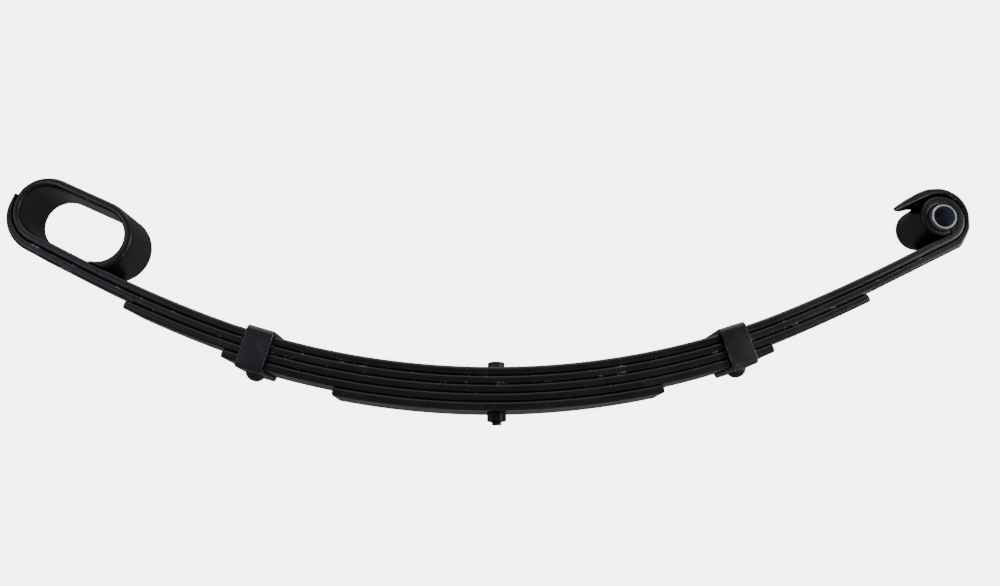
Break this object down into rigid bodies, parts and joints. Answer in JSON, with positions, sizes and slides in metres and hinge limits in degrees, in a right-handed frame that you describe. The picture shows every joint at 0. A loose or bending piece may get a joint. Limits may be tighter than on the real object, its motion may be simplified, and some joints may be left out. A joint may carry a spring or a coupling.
{
  "type": "leaf spring",
  "caption": "Semi-elliptic leaf spring with a bushed eye at one end, an oval slipper loop at the other, riveted rebound clips and a centre bolt.",
  "frame": {"origin": "on the centre bolt's axis, where its head sits on the main leaf's top surface", "axes": "+X along the spring towards the bushed eye, +Y across the leaves, +Z towards the concave side, along the centre bolt's head"},
  "size_m": [0.9072, 0.0586, 0.2313],
  "materials": {
    "leaf_paint": "satin black enamel over spring steel, worn on the edges",
    "clip_paint": "satin black enamel over strap steel",
    "fastener_paint": "satin black enamel over a steel bolt and nut",
    "bush_rubber": "matt black rubber",
    "sleeve_steel": "bright zinc plate, lightly turned"
  },
  "bodies": {
    "middle": {"main_leaf": "leaf_paint", "wrapper_leaf": "leaf_paint", "third_leaf": "leaf_paint", "fourth_leaf": "leaf_paint", "fifth_leaf": "leaf_paint", "centre_bolt": "fastener_paint", "centre_nut": "fastener_paint"},
    "eye_end": {"eye_side_clip": "clip_paint", "eye_side_rivet": "clip_paint", "bush_rubber": "bush_rubber"},
    "loop_end": {"loop_side_clip": "clip_paint", "loop_side_rivet": "clip_paint"},
    "sleeve": {"bush_sleeve": "sleeve_steel"}
  },
  "joints": [
    {"name": "eye_end_flex", "type": "hinge", "parent": "middle", "child": "eye_end", "pos_m": [0.1075, 0, -0.012], "axis": [0, 1, 0], "range_deg": [-1.5, 8], "stiffness_Nm_per_rad": 7000, "deforming": ["main_leaf", "wrapper_leaf", "third_leaf", "fourth_leaf", "fifth_leaf"]},
    {"name": "loop_end_flex", "type": "hinge", "parent": "middle", "child": "loop_end", "pos_m": [-0.1055, 0, -0.012], "axis": [0, -1, 0], "range_deg": [-1.5, 8], "stiffness_Nm_per_rad": 7000, "deforming": ["main_leaf", "wrapper_leaf", "third_leaf", "fourth_leaf", "fifth_leaf"]},
    {"name": "sleeve_twist", "type": "hinge", "parent": "eye_end", "child": "sleeve", "pos_m": [0.42949, 0, 0.14257], "axis": [0, 1, 0], "range_deg": [-15, 15], "stiffness_Nm_per_rad": 6}
  ]
}
